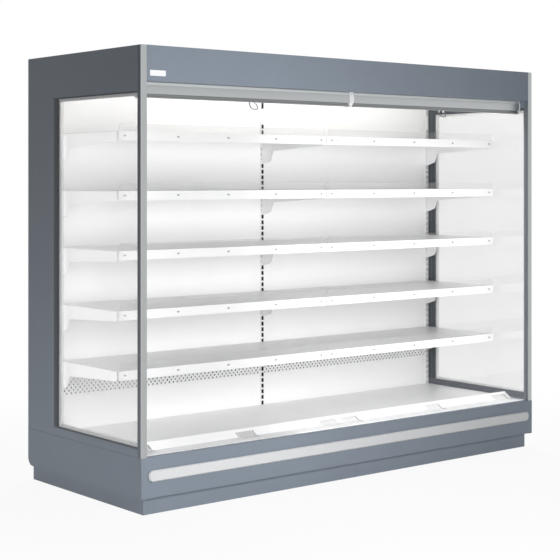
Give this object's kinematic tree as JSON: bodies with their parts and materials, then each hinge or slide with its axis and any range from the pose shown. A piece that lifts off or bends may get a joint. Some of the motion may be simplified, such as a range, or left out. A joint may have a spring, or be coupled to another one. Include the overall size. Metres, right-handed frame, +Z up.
{
  "type": "multideck display fridge",
  "caption": "Open-fronted multideck display fridge with glazed end walls, adjustable shelves, pull-down night blinds, a bumper rail and fans under the deck.",
  "frame": {"origin": "centre of the floor footprint, on the floor under the feet", "axes": "+X along the length, +Y from the open front to the back, +Z up"},
  "size_m": [2.56, 1.002, 2.052],
  "materials": {
    "side_paint": "fine satin grey-blue powder coat",
    "outer_panel": "plain light grey coated steel",
    "gasket": "dark grey matt profile",
    "glass": "clear double glazing",
    "anodised": "satin anodised extrusion",
    "bumper": "light grey semi-matt extrusion",
    "frame_steel": "zinc-plated steel",
    "tub": "foamed tub with a smooth liner",
    "liner": "white powder-coated sheet",
    "fence": "clear extruded plastic",
    "grille": "white moulded cells",
    "lamp": "opal diffuser",
    "white_plastic": "moulded white plastic",
    "blind_cloth": "metallised woven blind",
    "wire": "bent steel wire",
    "fan": "black moulded plastic",
    "coil": "mill-finish fins"
  },
  "bodies": {
    "cabinet": {"end_frame_left": "side_paint", "end_frame_right": "side_paint", "base_end_left": "side_paint", "base_end_right": "side_paint", "fascia": "side_paint", "base_front_panel": "side_paint", "kick_front_left": "side_paint", "kick_front_right": "side_paint", "kick_sides": "side_paint", "kick_corners": "side_paint", "rear_wall": "outer_panel", "roof_panel": "outer_panel", "glass_surround_left": "gasket", "glass_surround_right": "gasket", "end_glass_left": "glass", "end_glass_right": "glass", "end_post_left": "anodised", "end_post_right": "anodised", "blind_casing_left": "anodised", "blind_casing_right": "anodised", "bumper_rail": "bumper", "base_frame": "frame_steel", "levelling_feet": "frame_steel", "fan_plates": "frame_steel", "base_tub": "tub", "canopy_liner": "liner", "back_panel_left": "liner", "back_panel_right": "liner", "deck_plate_left": "liner", "deck_plate_right": "liner", "return_riser_left": "liner", "return_riser_right": "liner", "shelf_brackets": "liner", "uprights": "liner", "shelf_1_left": "liner", "shelf_1_right": "liner", "shelf_2_left": "liner", "shelf_2_right": "liner", "shelf_3_left": "liner", "shelf_3_right": "liner", "shelf_4_left": "liner", "shelf_4_right": "liner", "shelf_5_left": "liner", "shelf_5_right": "liner", "shelf_fences": "fence", "discharge_grille": "grille", "canopy_lamp": "lamp", "blind_end_caps": "white_plastic", "fan_motors": "fan", "evaporator_coil": "coil"},
    "blind_left": {"pull_bar_left": "anodised", "blind_cloth_left": "blind_cloth"},
    "blind_right": {"pull_bar_right": "anodised", "blind_cloth_right": "blind_cloth"},
    "roller_left": {"blind_roller_left": "blind_cloth"},
    "roller_right": {"blind_roller_right": "blind_cloth"},
    "loop_left": {"pull_loop_left": "wire"},
    "loop_right": {"pull_loop_right": "wire"},
    "fan_left": {"fan_blades_left": "fan"},
    "fan_right": {"fan_blades_right": "fan"}
  },
  "joints": [
    {"name": "blind_left_pull", "type": "slide", "parent": "cabinet", "child": "blind_left", "axis": [0, 0, -1], "range_m": [0, 1.52], "stiffness_N_per_m": 12, "springref_m": -1.6, "deforming": ["blind_cloth_left"]},
    {"name": "roller_left_spin", "type": "hinge", "parent": "cabinet", "child": "roller_left", "pos_m": [-0.625, -0.401, 1.877], "axis": [1, 0, 0], "range_deg": [0, 4300]},
    {"name": "loop_left_swing", "type": "hinge", "parent": "blind_left", "child": "loop_left", "pos_m": [-0.625, -0.435, 1.8195], "axis": [1, 0, 0], "range_deg": [-47, 113]},
    {"name": "fan_left_spin", "type": "hinge", "parent": "cabinet", "child": "fan_left", "pos_m": [-0.625, -0.117, 0.19], "axis": [0, -0.7071, 0.7071], "continuous": true},
    {"name": "blind_right_pull", "type": "slide", "parent": "cabinet", "child": "blind_right", "axis": [0, 0, -1], "range_m": [0, 1.52], "stiffness_N_per_m": 12, "springref_m": -1.6, "deforming": ["blind_cloth_right"]},
    {"name": "roller_right_spin", "type": "hinge", "parent": "cabinet", "child": "roller_right", "pos_m": [0.625, -0.401, 1.877], "axis": [1, 0, 0], "range_deg": [0, 4300]},
    {"name": "loop_right_swing", "type": "hinge", "parent": "blind_right", "child": "loop_right", "pos_m": [0.625, -0.435, 1.8195], "axis": [1, 0, 0], "range_deg": [-47, 113]},
    {"name": "fan_right_spin", "type": "hinge", "parent": "cabinet", "child": "fan_right", "pos_m": [0.625, -0.117, 0.19], "axis": [0, -0.7071, 0.7071], "continuous": true}
  ],
  "couplings": [
    {"joint": "roller_left_spin", "follows": "blind_left_pull", "rad_per_m": 48.8},
    {"joint": "roller_right_spin", "follows": "blind_right_pull", "rad_per_m": 48.8}
  ]
}
